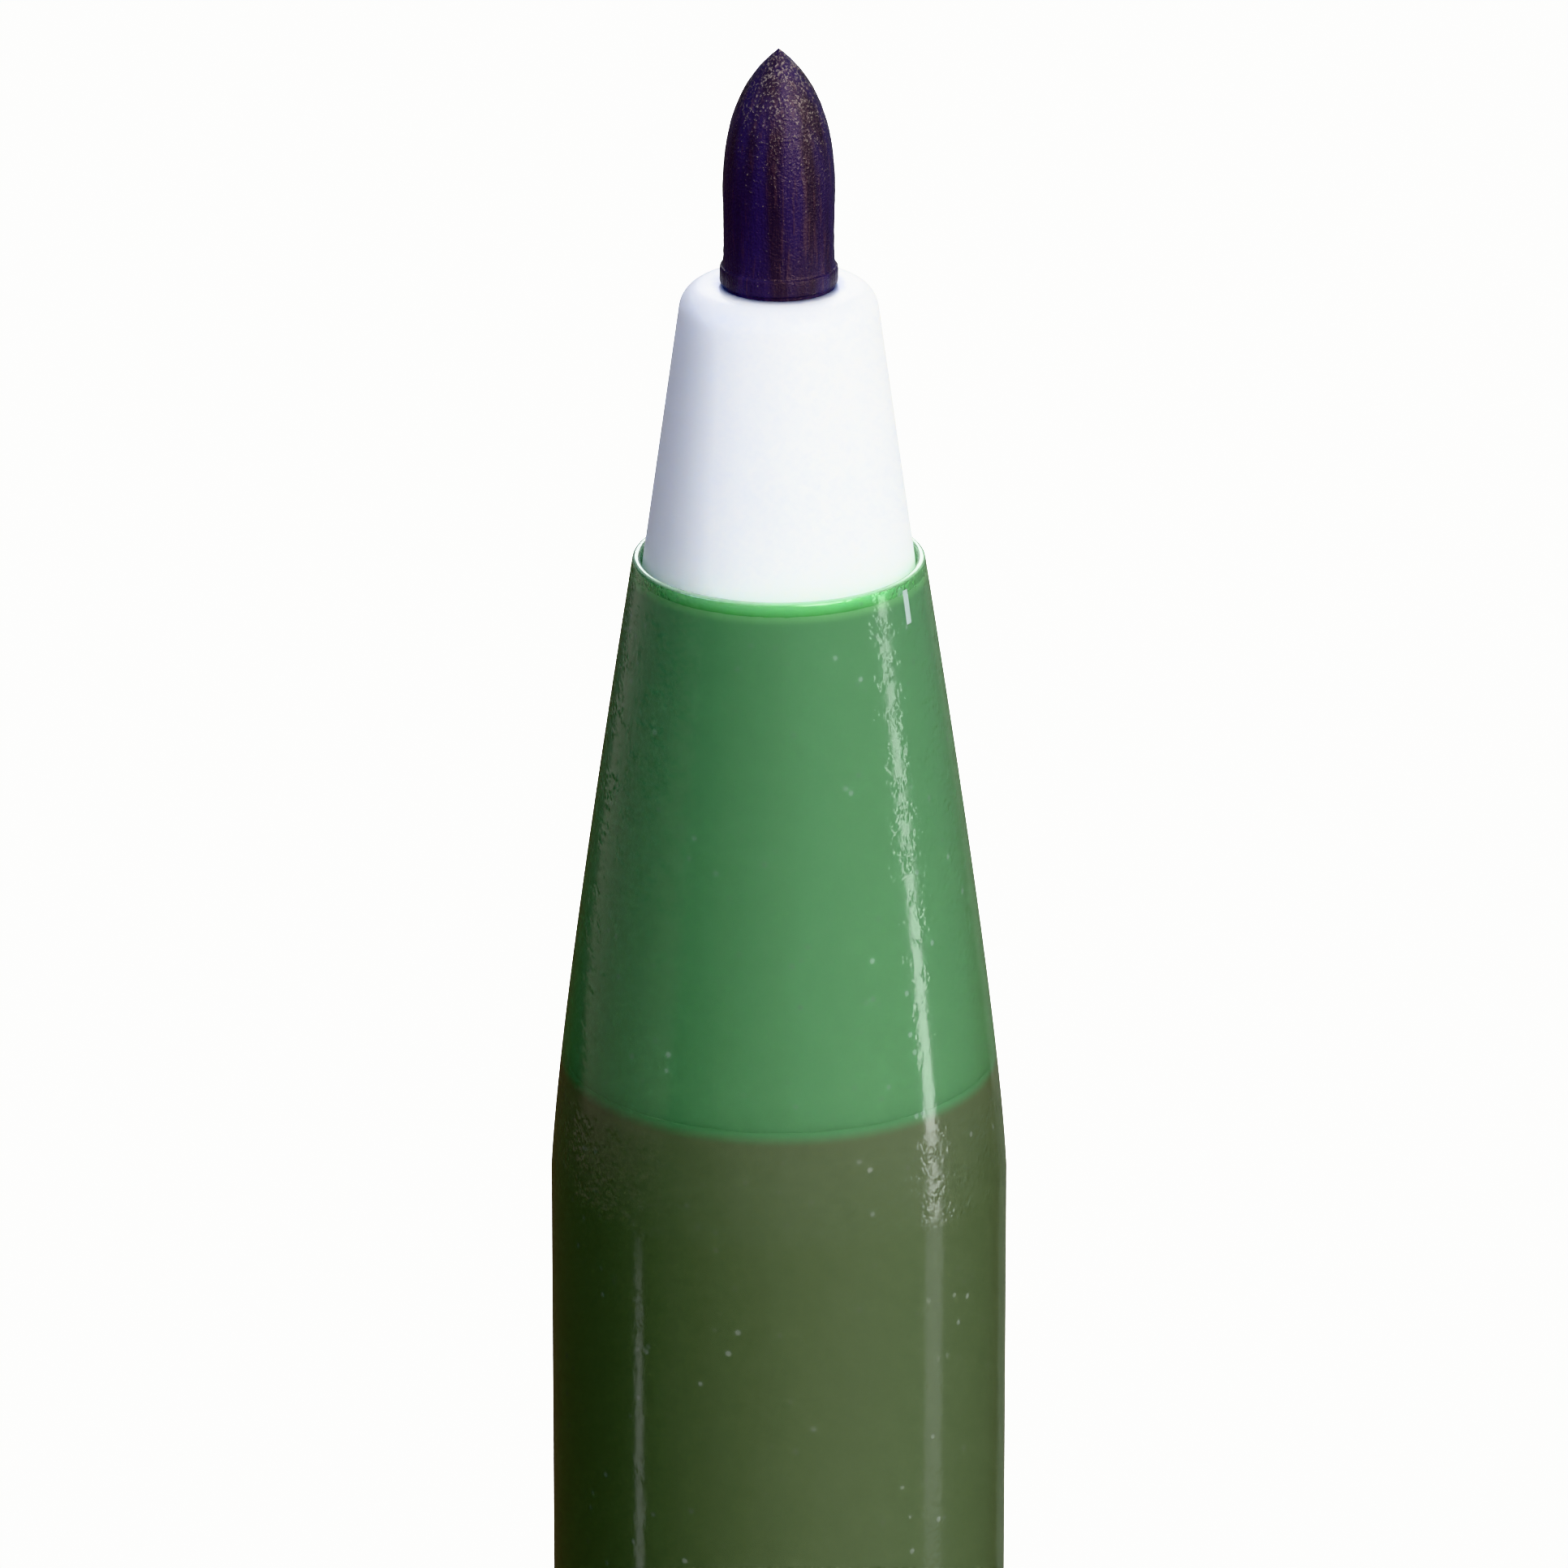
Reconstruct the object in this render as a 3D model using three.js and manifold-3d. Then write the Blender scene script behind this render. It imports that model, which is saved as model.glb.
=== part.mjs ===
// A fabric marking pen: a felt-tip pen for marks on cloth, standing nib up on its cap, which is posted
// on the rear end. Millimetres, +Z up along the pen, origin at the centre of the cap's flat closed end.
import * as THREE from "three";
import { mergeVertices } from "three/addons/utils/BufferGeometryUtils.js";
import Module from "manifold-3d";

const wasm = await Module();
wasm.setup();

// Fits between pieces
const pushFit = 0.05; // radial gap of pieces pushed together for good
const slipFit = 0.06; // radial gap between the cap and the barrel
const seatGap = 0.1; // axial gap between faces that rest on each other
const flexRoom = 0.15; // room round the clip's foot, which rocks when the clip bends
const easedEdge = 0.18; // radius or size of the small edges

// Barrel
const barrelRadius = 5.0;
const barrelWall = 0.85;
const barrelLength = 123.4; // from the open rear end to the mouth
const coneLength = 14.2; // of the outside; the inside narrows to suit the reservoir and the nib holder
const coneFullness = 0.76; // share of the cone's length where its outline bends most
const coneBendRadius = 0.966; // radius there, as a share of the barrel's
const mouthRadius = 3.17;
const mouthWall = 0.18;
const ribHeight = 0.15; // ribs inside the bore that centre the reservoir
const ribWidth = 0.6;
const ribCount = 6;
const ribSetback = 15; // the ribs stop this far from the plug and from the cone

// Nib
const nibRadius = 1.21;
const nibReach = 5.27; // stands out of the holder
const nibPointLength = 3.2;
const nibShoulder = 0.41; // where the outline starts to turn in, as a share of the point's length
const nibCrest = 0.16; // where it is half way in, as a share of the point's length
const nibCrestRadius = 0.51; // radius there, as a share of the nib's
const nibBeadSwell = 0.06; // swollen fibres where the nib leaves the holder
const nibBeadHeight = 0.45;
const nibTailLength = 7; // pushed into the reservoir
const nibTailPoint = 1.4;

// Nib holder
const holderReach = 6.16; // stands out of the barrel's mouth
const holderFaceRadius = 2.07; // where the sides would meet the front face
const holderRound = 0.6; // rounding of the front edge
const holderSeatLength = 11.8; // part inside the barrel's cone
const holderSkirtWall = 0.8;
const holderSkirtDepth = 6; // how far the skirt is hollow
const holderTubeWall = 0.75; // tube that carries the nib through the hollow skirt
const holderTubeSetback = 1.2;
const holderWebThickness = 0.7;
const holderWebCount = 4;

// Ink reservoir
const reservoirGap = 0.1; // between the film and the ribs of the bore
const filmThickness = 0.15;

// Rear plug
const plugFlangeThickness = 1.0;
const plugFlangeInset = 0.1; // the flange is this much smaller than the barrel
const plugFlangeRound = 0.3;
const plugSpigotLength = 6.5;
const plugSpigotWall = 0.9;
const plugNotchCount = 4; // air ways in the spigot's inner end
const plugNotchWidth = 1.2;
const plugNotchDepth = 1.5;

// Cap
const capNibRoom = 0.6; // left beyond the nib's tip when the cap closes the pen
const capGripDepth = 17; // from the rim to the ledge that stops the pen
const capWall = 0.95;
const capLedge = 0.75;
const capEndWall = 1.8;
const capEndInset = 0.3; // the outside narrows by this towards the closed end
const capEndRound = 0.7;
const capRimRound = 0.3;
const gripFluteCount = 24;
const gripFluteRadius = 0.45;
const gripFluteDepth = 0.22;
const gripFluteLength = 9;
const gripFluteSetback = 2.2; // plain band between the rim and the flutes
const ventCount = 3;
const ventRadius = 0.7;

// Inner cap
const linerWall = 0.8;
const linerFloor = 0.9;
const linerSealDepth = 3.2; // its lip seals this far behind the nib holder's face
const linerLipInset = 0.2; // the bore below the lip is this much wider
const linerLipLength = 0.8;
const linerFlareLength = 2.0; // the mouth widens over this length
const linerGrooveDepth = 0.5;

// Crown button
const crownThickness = 1.6;
const crownInset = 0.9; // smaller than the cap's closed end by this
const crownStemRadius = 1.5;
const crownRound = 0.35;
const crownNotchRadius = 1.0; // notches in its edge that let air to the vents

// Pocket clip
const clipWidth = 3.4;
const clipThickness = 1.1;
const clipFootThickness = 0.8;
const clipFootLength = 1.7; // inside the cap's end
const clipGap = 1.0; // between the arm and the cap
const clipArmSetback = 4; // between the arm's free end and the cap's rim
const clipBeadRadius = 0.8;
const clipBeadSetback = 2.2;
const clipEdgeRound = 0.25;

// Facets round the pen
const bodyFacets = 48;
const smallFacets = 32;

// The cap, upwards from its closed end. The ledge meets the barrel's cone when the cap closes the pen.
const capBore = barrelRadius + slipFit;
const capInnerBore = capBore - capLedge;
const capRadius = capBore + capWall;
const capEndRadius = capRadius - capEndInset;
const capFloor = crownThickness + capEndWall;
const linerRadius = capInnerBore - pushFit;
const linerBase = capFloor + seatGap;
const closedFace = linerBase + linerFloor + capNibRoom + nibReach; // where the holder's face then is
const closedMouth = closedFace + holderReach;
const ledgeHeight = closedMouth + coneDepth(capInnerBore);
const capLength = ledgeHeight + capGripDepth;
const crownRadius = capEndRadius - crownInset;
const ventCircle = linerRadius - ventRadius;
const clipArmEnd = capLength - clipArmSetback;

// The pen, upwards from the ledge that its rear end rests on
const plugBase = ledgeHeight + seatGap;
const barrelBase = plugBase + plugFlangeThickness + seatGap;
const mouthHeight = barrelBase + barrelLength;
const lipHeight = mouthHeight - mouthWall / 2;
const coneBase = mouthHeight - coneLength;
const boreRadius = barrelRadius - barrelWall;
const mouthBore = mouthRadius - mouthWall;
const holderFace = mouthHeight + holderReach;
const holderBack = mouthHeight - holderSeatLength;
const nibBore = nibRadius + pushFit;
const nibTop = holderFace + nibReach;
const plugTop = barrelBase + plugSpigotLength;
const reservoirBase = plugTop + seatGap;
const reservoirTop = holderBack - seatGap;
const filmRadius = boreRadius - ribHeight - reservoirGap;
const coreRadius = filmRadius - filmThickness - pushFit;
const seatSlope = (filmRadius + pushFit - mouthBore) / (lipHeight - reservoirTop);
const seatBase = lipHeight - (boreRadius - mouthBore) / seatSlope;
const nibTail = reservoirTop - nibTailLength;
const holderSlope = (mouthBore - pushFit - holderFaceRadius) / (holderFace - lipHeight);

// A solid turned about Z from the closed outline [radius, height], listed upwards along its outside.
function turned(outline, facets) {
  const points = outline.map(([radius, height]) => new THREE.Vector2(radius, height));
  if (points[0].x > 0) points.push(points[0].clone());
  return new THREE.LatheGeometry(points, facets).rotateX(Math.PI / 2);
}

// Points of a curve in the [radius, height] plane.
function along(curve, steps) {
  return curve.getPoints(steps).map((p) => [p.x, p.y]);
}

// Points of a round corner about (radius, height), from one angle to another in degrees.
function corner(radius, height, size, from, to, steps = 4) {
  const angle = (degrees) => THREE.MathUtils.degToRad(degrees);
  const arc = new THREE.EllipseCurve(radius, height, size, size, angle(from), angle(to), to < from);
  return along(arc, steps);
}

// The geometry as a manifold-3d solid.
function solid(geometry) {
  const bare = geometry.clone();
  bare.deleteAttribute("normal");
  bare.deleteAttribute("uv");
  const merged = mergeVertices(bare, 1e-4);
  const vertProperties = new Float32Array(merged.attributes.position.array);
  const triVerts = new Uint32Array(merged.index.array);
  return new wasm.Manifold(new wasm.Mesh({ numProp: 3, vertProperties, triVerts }));
}

// A manifold-3d solid as a geometry.
function geometryOf(made) {
  const { numProp, vertProperties, triVerts } = made.getMesh();
  const positions = new Float32Array((vertProperties.length / numProp) * 3);
  for (let i = 0; i < positions.length / 3; i++) {
    positions.set(vertProperties.subarray(i * numProp, i * numProp + 3), i * 3);
  }
  const geometry = new THREE.BufferGeometry();
  geometry.setAttribute("position", new THREE.BufferAttribute(positions, 3));
  geometry.setIndex(new THREE.BufferAttribute(triVerts, 1));
  geometry.computeVertexNormals();
  return geometry;
}

// Adds to, or cuts from, a geometry a ring of copies of a tool, turned about Z.
function ringOf(geometry, tool, count, cut, firstAngle = 0) {
  let made = solid(geometry);
  for (let i = 0; i < count; i++) {
    const copy = solid(tool.clone().rotateZ(firstAngle + (i * 2 * Math.PI) / count));
    made = cut ? made.subtract(copy) : made.add(copy);
  }
  return geometryOf(made);
}

// A box by its lowest and highest corners.
function block(low, high) {
  const size = high.map((value, i) => value - low[i]);
  const centre = high.map((value, i) => (value + low[i]) / 2);
  return new THREE.BoxGeometry(...size).translate(...centre);
}

// Depth below the barrel's mouth at which its outside cone has a radius.
function coneDepth(radius) {
  const bendRadius = coneBendRadius * barrelRadius;
  const a = barrelRadius - 2 * bendRadius + mouthRadius;
  const b = 2 * (bendRadius - barrelRadius);
  const t = (-b - Math.sqrt(b * b - 4 * a * (barrelRadius - radius))) / (2 * a);
  return coneLength * ((1 - t) ** 2 + 2 * t * (1 - t) * coneFullness);
}

// Radius of the seat inside the barrel's front cone at a height. It just clears the reservoir's front end.
function seatRadius(height) {
  return mouthBore + seatSlope * (lipHeight - height);
}

// The barrel: a tube open at the rear, with a slightly full cone down to the thin lip of its mouth.
function barrelGeometry() {
  const bend = new THREE.Vector2(coneBendRadius * barrelRadius, mouthHeight - coneFullness * coneLength);
  const cone = new THREE.QuadraticBezierCurve(
    new THREE.Vector2(barrelRadius, coneBase),
    bend,
    new THREE.Vector2(mouthRadius, lipHeight),
  );
  const tube = turned(
    [
      [boreRadius, barrelBase],
      ...corner(barrelRadius - easedEdge, barrelBase + easedEdge, easedEdge, -90, 0, 2),
      ...along(cone, 12),
      ...corner(mouthRadius - mouthWall / 2, lipHeight, mouthWall / 2, 0, 180, 4).slice(1),
      [boreRadius, seatBase],
    ],
    bodyFacets,
  );
  const rib = block(
    [boreRadius - ribHeight, -ribWidth / 2, plugTop + ribSetback],
    [boreRadius + ribHeight, ribWidth / 2, coneBase - ribSetback],
  );
  return ringOf(tube, rib, ribCount, false);
}

// The nib: a fibre rod with a bullet point, a bead where it leaves the holder, and a pointed tail.
function nibGeometry() {
  const point = new THREE.CubicBezierCurve(
    new THREE.Vector2(nibRadius, nibTop - nibPointLength),
    new THREE.Vector2(nibRadius, nibTop - nibShoulder * nibPointLength),
    new THREE.Vector2(nibCrestRadius * nibRadius, nibTop - nibCrest * nibPointLength),
    new THREE.Vector2(0, nibTop),
  );
  const beadTop = holderFace + nibBeadHeight;
  const beadBase = holderFace + nibBeadSwell;
  return turned(
    [
      [0, nibTail],
      [nibRadius, nibTail + nibTailPoint],
      [nibRadius, beadBase],
      [nibRadius + nibBeadSwell, beadBase],
      ...corner(nibRadius, beadTop - nibBeadSwell, nibBeadSwell, 0, 90, 3),
      ...along(point, 12),
    ],
    smallFacets,
  );
}

// The nib holder: a cone with a rounded front, wedged in the barrel's mouth from behind. Its seat follows
// the inside of the barrel's cone. The rear is hollow: a skirt, a tube for the nib, and webs between them.
function holderGeometry() {
  const outerRadius = (height) => seatRadius(height) - pushFit;
  const sideAngle = THREE.MathUtils.radToDeg(Math.atan(holderSlope));
  const roundCentre = holderFace - holderRound;
  const roundRadius = holderFaceRadius + holderSlope * holderRound - holderRound;
  const skirtTop = holderBack + holderSkirtDepth;
  const tubeRadius = nibBore + holderTubeWall;
  const tubeEnd = holderBack + holderTubeSetback;
  const body = turned(
    [
      [nibBore, holderBack],
      [outerRadius(holderBack), holderBack],
      [outerRadius(lipHeight), lipHeight],
      ...corner(roundRadius, roundCentre, holderRound, sideAngle, 90, 6),
      [nibBore, holderFace],
    ],
    bodyFacets,
  );
  const hollow = turned(
    [
      [0, holderBack - seatGap],
      [outerRadius(holderBack) - holderSkirtWall, holderBack - seatGap],
      [outerRadius(skirtTop) - holderSkirtWall, skirtTop],
      [tubeRadius, skirtTop],
      [tubeRadius, tubeEnd],
      [0, tubeEnd],
    ],
    bodyFacets,
  );
  const web = block(
    [tubeRadius - holderTubeWall / 2, -holderWebThickness / 2, tubeEnd],
    [barrelRadius, holderWebThickness / 2, skirtTop + holderWebThickness],
  );
  const pockets = ringOf(hollow, web, holderWebCount, true, Math.PI / 4);
  return ringOf(body, pockets, 1, true);
}

// The reservoir's fibre bundle, with the hole that the nib's tail makes.
function coreGeometry() {
  return turned(
    [
      [0, reservoirBase],
      [coreRadius, reservoirBase],
      [coreRadius, reservoirTop],
      [nibBore, reservoirTop],
      [nibBore, nibTail + nibTailPoint - seatGap],
      [0, nibTail - seatGap],
    ],
    smallFacets,
  );
}

// The film sleeve round the fibre bundle.
function filmGeometry() {
  return turned(
    [
      [coreRadius + pushFit, reservoirBase],
      [filmRadius, reservoirBase],
      [filmRadius, reservoirTop],
      [coreRadius + pushFit, reservoirTop],
    ],
    smallFacets,
  );
}

// The rear plug: a flange against the barrel's end and a hollow spigot whose notched end meets the reservoir.
function plugGeometry() {
  const flangeRadius = barrelRadius - plugFlangeInset;
  const spigotRadius = boreRadius - pushFit;
  const spigotBore = spigotRadius - plugSpigotWall;
  const flangeTop = plugBase + plugFlangeThickness;
  const body = turned(
    [
      [0, plugBase],
      ...corner(flangeRadius - plugFlangeRound, plugBase + plugFlangeRound, plugFlangeRound, -90, 0, 3),
      [flangeRadius, flangeTop],
      [spigotRadius, flangeTop],
      [spigotRadius, plugTop - easedEdge],
      [spigotRadius - easedEdge, plugTop],
      [spigotBore, plugTop],
      [spigotBore, flangeTop],
      [0, flangeTop],
    ],
    bodyFacets,
  );
  const notch = block(
    [spigotBore / 2, -plugNotchWidth / 2, plugTop - plugNotchDepth],
    [barrelRadius, plugNotchWidth / 2, plugTop + plugNotchDepth],
  );
  return ringOf(body, notch, plugNotchCount, true);
}

// The cap's shell: a tube with a ledge that stops the pen, a fluted grip, a slotted and vented end.
function shellGeometry() {
  const stemBore = crownStemRadius + pushFit;
  const tube = turned(
    [
      [stemBore, crownThickness],
      ...corner(capEndRadius - capEndRound, crownThickness + capEndRound, capEndRound, -90, 0, 4),
      ...corner(capRadius - capRimRound, capLength - capRimRound, capRimRound, 0, 90, 3),
      ...corner(capBore + capRimRound, capLength - capRimRound, capRimRound, 90, 180, 3),
      [capBore, ledgeHeight],
      [capInnerBore, ledgeHeight],
      [capInnerBore, capFloor],
      [stemBore, capFloor],
    ],
    bodyFacets,
  );
  const fluteEnd = capLength - gripFluteSetback;
  const flute = new THREE.CylinderGeometry(gripFluteRadius, gripFluteRadius, gripFluteLength, 8)
    .rotateX(Math.PI / 2)
    .translate(capRadius + gripFluteRadius - gripFluteDepth, 0, fluteEnd - gripFluteLength / 2);
  const fluted = ringOf(tube, flute, gripFluteCount, true, Math.PI / gripFluteCount);
  const vent = new THREE.CylinderGeometry(ventRadius, ventRadius, 2 * capEndWall, 12)
    .rotateX(Math.PI / 2)
    .translate(ventCircle, 0, crownThickness + capEndWall / 2);
  const vented = ringOf(fluted, vent, ventCount, true, Math.PI);
  const slotHalf = clipWidth / 2 + flexRoom;
  const slot = block(
    [capEndRadius - clipFootLength - flexRoom, -slotHalf, crownThickness - flexRoom],
    [capRadius + clipGap, slotHalf, crownThickness + clipFootThickness + 2 * flexRoom],
  );
  return ringOf(vented, slot, 1, true);
}

// The inner cap: a cup that closes round the nib holder, with grooves outside that let air past it.
function linerGeometry() {
  const lipTop = closedFace + linerSealDepth;
  const lipRadius = holderFaceRadius + holderSlope * linerSealDepth;
  const linerTop = lipTop + linerFlareLength;
  const boreBelow = lipRadius + linerLipInset;
  const cup = turned(
    [
      [0, linerBase],
      [linerRadius, linerBase],
      [linerRadius, linerTop],
      [linerRadius - linerWall, linerTop],
      [lipRadius, lipTop],
      [boreBelow, lipTop - linerLipLength],
      [boreBelow, linerBase + linerFloor],
      [0, linerBase + linerFloor],
    ],
    bodyFacets,
  );
  const groove = block(
    [linerRadius - linerGrooveDepth, -ventRadius, linerBase - seatGap],
    [capRadius, ventRadius, linerTop + seatGap],
  );
  return ringOf(cup, groove, ventCount, true, Math.PI);
}

// The crown: a button in the ink's colour. Its stem is pressed into the end of the shell.
function crownGeometry() {
  const headTop = crownThickness - seatGap;
  const button = turned(
    [
      [0, 0],
      ...corner(crownRadius - crownRound, crownRound, crownRound, -90, 0, 4),
      [crownRadius, headTop],
      [crownStemRadius, headTop],
      [crownStemRadius, capFloor - pushFit],
      [0, capFloor - pushFit],
    ],
    bodyFacets,
  );
  const notch = new THREE.CylinderGeometry(crownNotchRadius, crownNotchRadius, 2 * crownThickness, 12)
    .rotateX(Math.PI / 2)
    .translate(crownRadius, 0, crownThickness / 2);
  return ringOf(button, notch, ventCount, true, Math.PI);
}

// The pocket clip: a foot held under the crown, a bend, and an arm with a bead that bears on the cap.
function clipGeometry() {
  const footBase = crownThickness;
  const footTop = footBase + clipFootThickness;
  const footEnd = capEndRadius - clipFootLength;
  const armInside = capRadius + clipGap;
  const armOutside = armInside + clipThickness;
  const armRound = clipThickness / 2;
  const beadHeight = clipArmEnd - clipBeadSetback;
  const beadReach = armInside + pushFit - clipGap + clipBeadRadius;
  const outline = new THREE.Shape();
  outline.moveTo(footEnd, footBase);
  outline.lineTo(armInside, footBase);
  outline.absarc(armInside, footBase + clipThickness, clipThickness, -Math.PI / 2, 0);
  outline.lineTo(armOutside, clipArmEnd - armRound);
  outline.absarc(armOutside - armRound, clipArmEnd - armRound, armRound, 0, Math.PI);
  outline.lineTo(armInside, beadHeight + clipBeadRadius);
  outline.absarc(beadReach, beadHeight, clipBeadRadius, Math.PI / 2, (3 * Math.PI) / 2);
  outline.lineTo(armInside, beadHeight - clipBeadRadius);
  outline.lineTo(armInside, footTop + clipFootThickness / 2);
  outline.lineTo(armInside - clipFootThickness / 2, footTop);
  outline.lineTo(footEnd, footTop);
  outline.closePath();
  const depth = clipWidth - 2 * clipEdgeRound;
  const extrusion = {
    depth,
    curveSegments: 5,
    bevelSegments: 1,
    bevelThickness: clipEdgeRound,
    bevelSize: clipEdgeRound,
    bevelOffset: -clipEdgeRound,
  };
  return new THREE.ExtrudeGeometry(outline, extrusion).translate(0, 0, -depth / 2).rotateX(Math.PI / 2);
}

// Finishes of the pieces
function finish(color, roughness) {
  return new THREE.MeshStandardMaterial({ color, roughness, metalness: 0 });
}
const greenPlastic = finish(0x4f8f5b, 0.3);
const whitePlastic = finish(0xf1f3fa, 0.4);
const violetPlastic = finish(0x3b2a6b, 0.35);
const inkedFibre = finish(0x241539, 0.85);
const reservoirFilm = finish(0x2a2030, 0.4);

// Each piece as a named mesh, grouped by what moves together.
function piece(name, geometry, material) {
  const mesh = new THREE.Mesh(geometry, material);
  mesh.name = name;
  return mesh;
}

const penBody = new THREE.Group();
penBody.add(
  piece("barrel", barrelGeometry(), greenPlastic),
  piece("nib_holder", holderGeometry(), whitePlastic),
  piece("nib", nibGeometry(), inkedFibre),
  piece("reservoir_core", coreGeometry(), inkedFibre),
  piece("reservoir_film", filmGeometry(), reservoirFilm),
  piece("end_plug", plugGeometry(), whitePlastic),
);

const cap = new THREE.Group();
cap.add(
  piece("cap_shell", shellGeometry(), greenPlastic),
  piece("cap_liner", linerGeometry(), whitePlastic),
  piece("cap_crown", crownGeometry(), violetPlastic),
);

const clip = new THREE.Group();
clip.add(piece("cap_clip", clipGeometry(), greenPlastic));

const pen = new THREE.Group();
pen.add(penBody, cap, clip);

export default pen;
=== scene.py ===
import math

import bmesh
import bpy
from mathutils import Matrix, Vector


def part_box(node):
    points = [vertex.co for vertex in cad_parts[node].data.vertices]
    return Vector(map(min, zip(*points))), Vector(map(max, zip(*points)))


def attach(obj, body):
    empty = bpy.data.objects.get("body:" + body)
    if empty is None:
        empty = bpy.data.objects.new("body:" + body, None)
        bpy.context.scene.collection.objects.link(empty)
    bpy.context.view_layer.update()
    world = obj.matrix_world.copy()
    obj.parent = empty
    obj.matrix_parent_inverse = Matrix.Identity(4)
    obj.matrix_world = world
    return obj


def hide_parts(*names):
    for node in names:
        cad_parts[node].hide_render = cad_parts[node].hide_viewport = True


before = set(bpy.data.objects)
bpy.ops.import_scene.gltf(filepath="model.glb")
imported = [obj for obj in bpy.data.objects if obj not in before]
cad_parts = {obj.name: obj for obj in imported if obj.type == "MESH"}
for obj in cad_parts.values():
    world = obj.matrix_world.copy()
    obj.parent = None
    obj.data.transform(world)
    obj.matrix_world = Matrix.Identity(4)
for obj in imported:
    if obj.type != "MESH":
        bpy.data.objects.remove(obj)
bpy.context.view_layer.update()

mm = 0.001
weld = 0.0005 * mm  # vertices closer than this are one
turnSteps = 144  # columns of faces round a turned piece
pushFit = 0.05  # radial gap between pieces pushed together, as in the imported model


def boxOf(node):
    low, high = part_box(node)
    return low / mm, high / mm


def arcPoints(radius, height, size, start, end, steps):  # a round corner, angles in degrees
    turns = [math.radians(start + (end - start) * i / steps) for i in range(steps + 1)]
    return [(radius + size * math.cos(a), height + size * math.sin(a)) for a in turns]


def curvePoints(handles, steps):  # a Bezier curve through any number of handles
    points = []
    for i in range(steps + 1):
        row = [Vector(h) for h in handles]
        while len(row) > 1:
            row = [a.lerp(b, i / steps) for a, b in zip(row, row[1:])]
        points.append((row[0].x, row[0].y))
    return points


def selectWhere(piece, test):  # selects the vertices whose place, in millimetres, passes the test
    mesh = bmesh.from_edit_mesh(piece.data)
    for vert in mesh.verts:
        vert.select = test(vert.co / mm)
    mesh.select_flush(True)
    mesh.select_flush(False)
    bmesh.update_edit_mesh(piece.data)


def drawOutline(name, outline, depth=0.0):  # a chain of vertices in the XZ plane, left in edit mode
    bpy.ops.object.select_all(action="DESELECT")
    bpy.ops.mesh.primitive_plane_add(size=mm)
    piece = bpy.context.object
    piece.name = piece.data.name = name
    bpy.ops.object.mode_set(mode="EDIT")
    bpy.ops.mesh.select_mode(type="VERT")
    bpy.ops.mesh.select_all(action="SELECT")
    bpy.ops.mesh.merge(type="CENTER")
    here = Vector((outline[0][0], depth, outline[0][1]))
    bpy.ops.transform.translate(value=here * mm)
    for radius, height in outline[1:]:
        there = Vector((radius, depth, height))
        bpy.ops.mesh.extrude_region_move(TRANSFORM_OT_translate={"value": (there - here) * mm})
        here = there
    return piece


def closeUp(smoothBelow=30):  # welds seams and poles, turns faces outwards and leaves edit mode
    bpy.ops.mesh.select_all(action="SELECT")
    bpy.ops.mesh.remove_doubles(threshold=weld)
    bpy.ops.mesh.normals_make_consistent(inside=False)
    bpy.ops.object.mode_set(mode="OBJECT")
    bpy.ops.object.shade_smooth_by_angle(angle=math.radians(smoothBelow))


def turnPiece(name, outline, steps=turnSteps, smoothBelow=30):  # a piece turned about the pen's axis
    piece = drawOutline(name, outline)
    bpy.ops.mesh.select_all(action="SELECT")
    bpy.ops.mesh.spin(steps=steps, angle=2 * math.pi, center=(0, 0, 0), axis=(0, 0, 1))
    closeUp(smoothBelow)
    return piece


def toolBox(low, high, turn=0.0):  # a block to cut or join with, turned about the pen's axis
    size = Vector(high) - Vector(low)
    bpy.ops.object.select_all(action="DESELECT")
    bpy.ops.mesh.primitive_cube_add(size=1)
    tool = bpy.context.object
    tool.scale = size * mm
    tool.location = (Vector(low) + size / 2) * mm
    bpy.ops.object.transform_apply(location=True, rotation=True, scale=True)
    tool.rotation_euler.z = turn
    bpy.ops.object.transform_apply(location=True, rotation=True, scale=True)
    return tool


def toolDrill(radius, low, high, distance, turn):  # an upright round cutter at a distance from the axis
    bpy.ops.object.select_all(action="DESELECT")
    place = Vector((distance * math.cos(turn), distance * math.sin(turn), (low + high) / 2)) * mm
    bpy.ops.mesh.primitive_cylinder_add(
        vertices=48, radius=radius * mm, depth=(high - low) * mm, location=place)
    bpy.ops.object.transform_apply(location=True, rotation=True, scale=True)
    return bpy.context.object


def work(piece, tools, operation):  # cuts or joins the tools, and removes them
    for tool in tools:
        bpy.ops.object.select_all(action="DESELECT")
        bpy.context.view_layer.objects.active = piece
        piece.select_set(True)
        step = piece.modifiers.new("work", "BOOLEAN")
        step.operation = operation
        step.solver = "EXACT"
        step.object = tool
        bpy.ops.object.modifier_apply(modifier=step.name)
        bpy.data.objects.remove(tool)
    bpy.ops.object.shade_smooth_by_angle(angle=math.radians(30))


def turnsOf(count, first=0.0):  # angles of pieces spaced evenly round the axis
    return [first + 2 * math.pi * i / count for i in range(count)]


def finish(piece, body, slot, material, *nodes):
    piece.data.materials.clear()
    piece.data.materials.append(material)
    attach(piece, body)
    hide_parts(*nodes)


def hexColour(code):  # an sRGB hex code as linear red, green, blue and alpha
    parts = [int(code[i:i + 2], 16) / 255 for i in (1, 3, 5)]
    linear = [c / 12.92 if c <= 0.04045 else ((c + 0.055) / 1.055) ** 2.4 for c in parts]
    return (*linear, 1.0)


def addNode(tree, kind, inputs, **settings):  # inputs maps a socket to a value or to another node's output
    made = tree.nodes.new(kind)
    for key, value in settings.items():
        setattr(made, key, value)
    for socket, value in inputs.items():
        if isinstance(value, bpy.types.NodeSocket):
            tree.links.new(value, made.inputs[socket])
        else:
            made.inputs[socket].default_value = value
    return made


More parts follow.
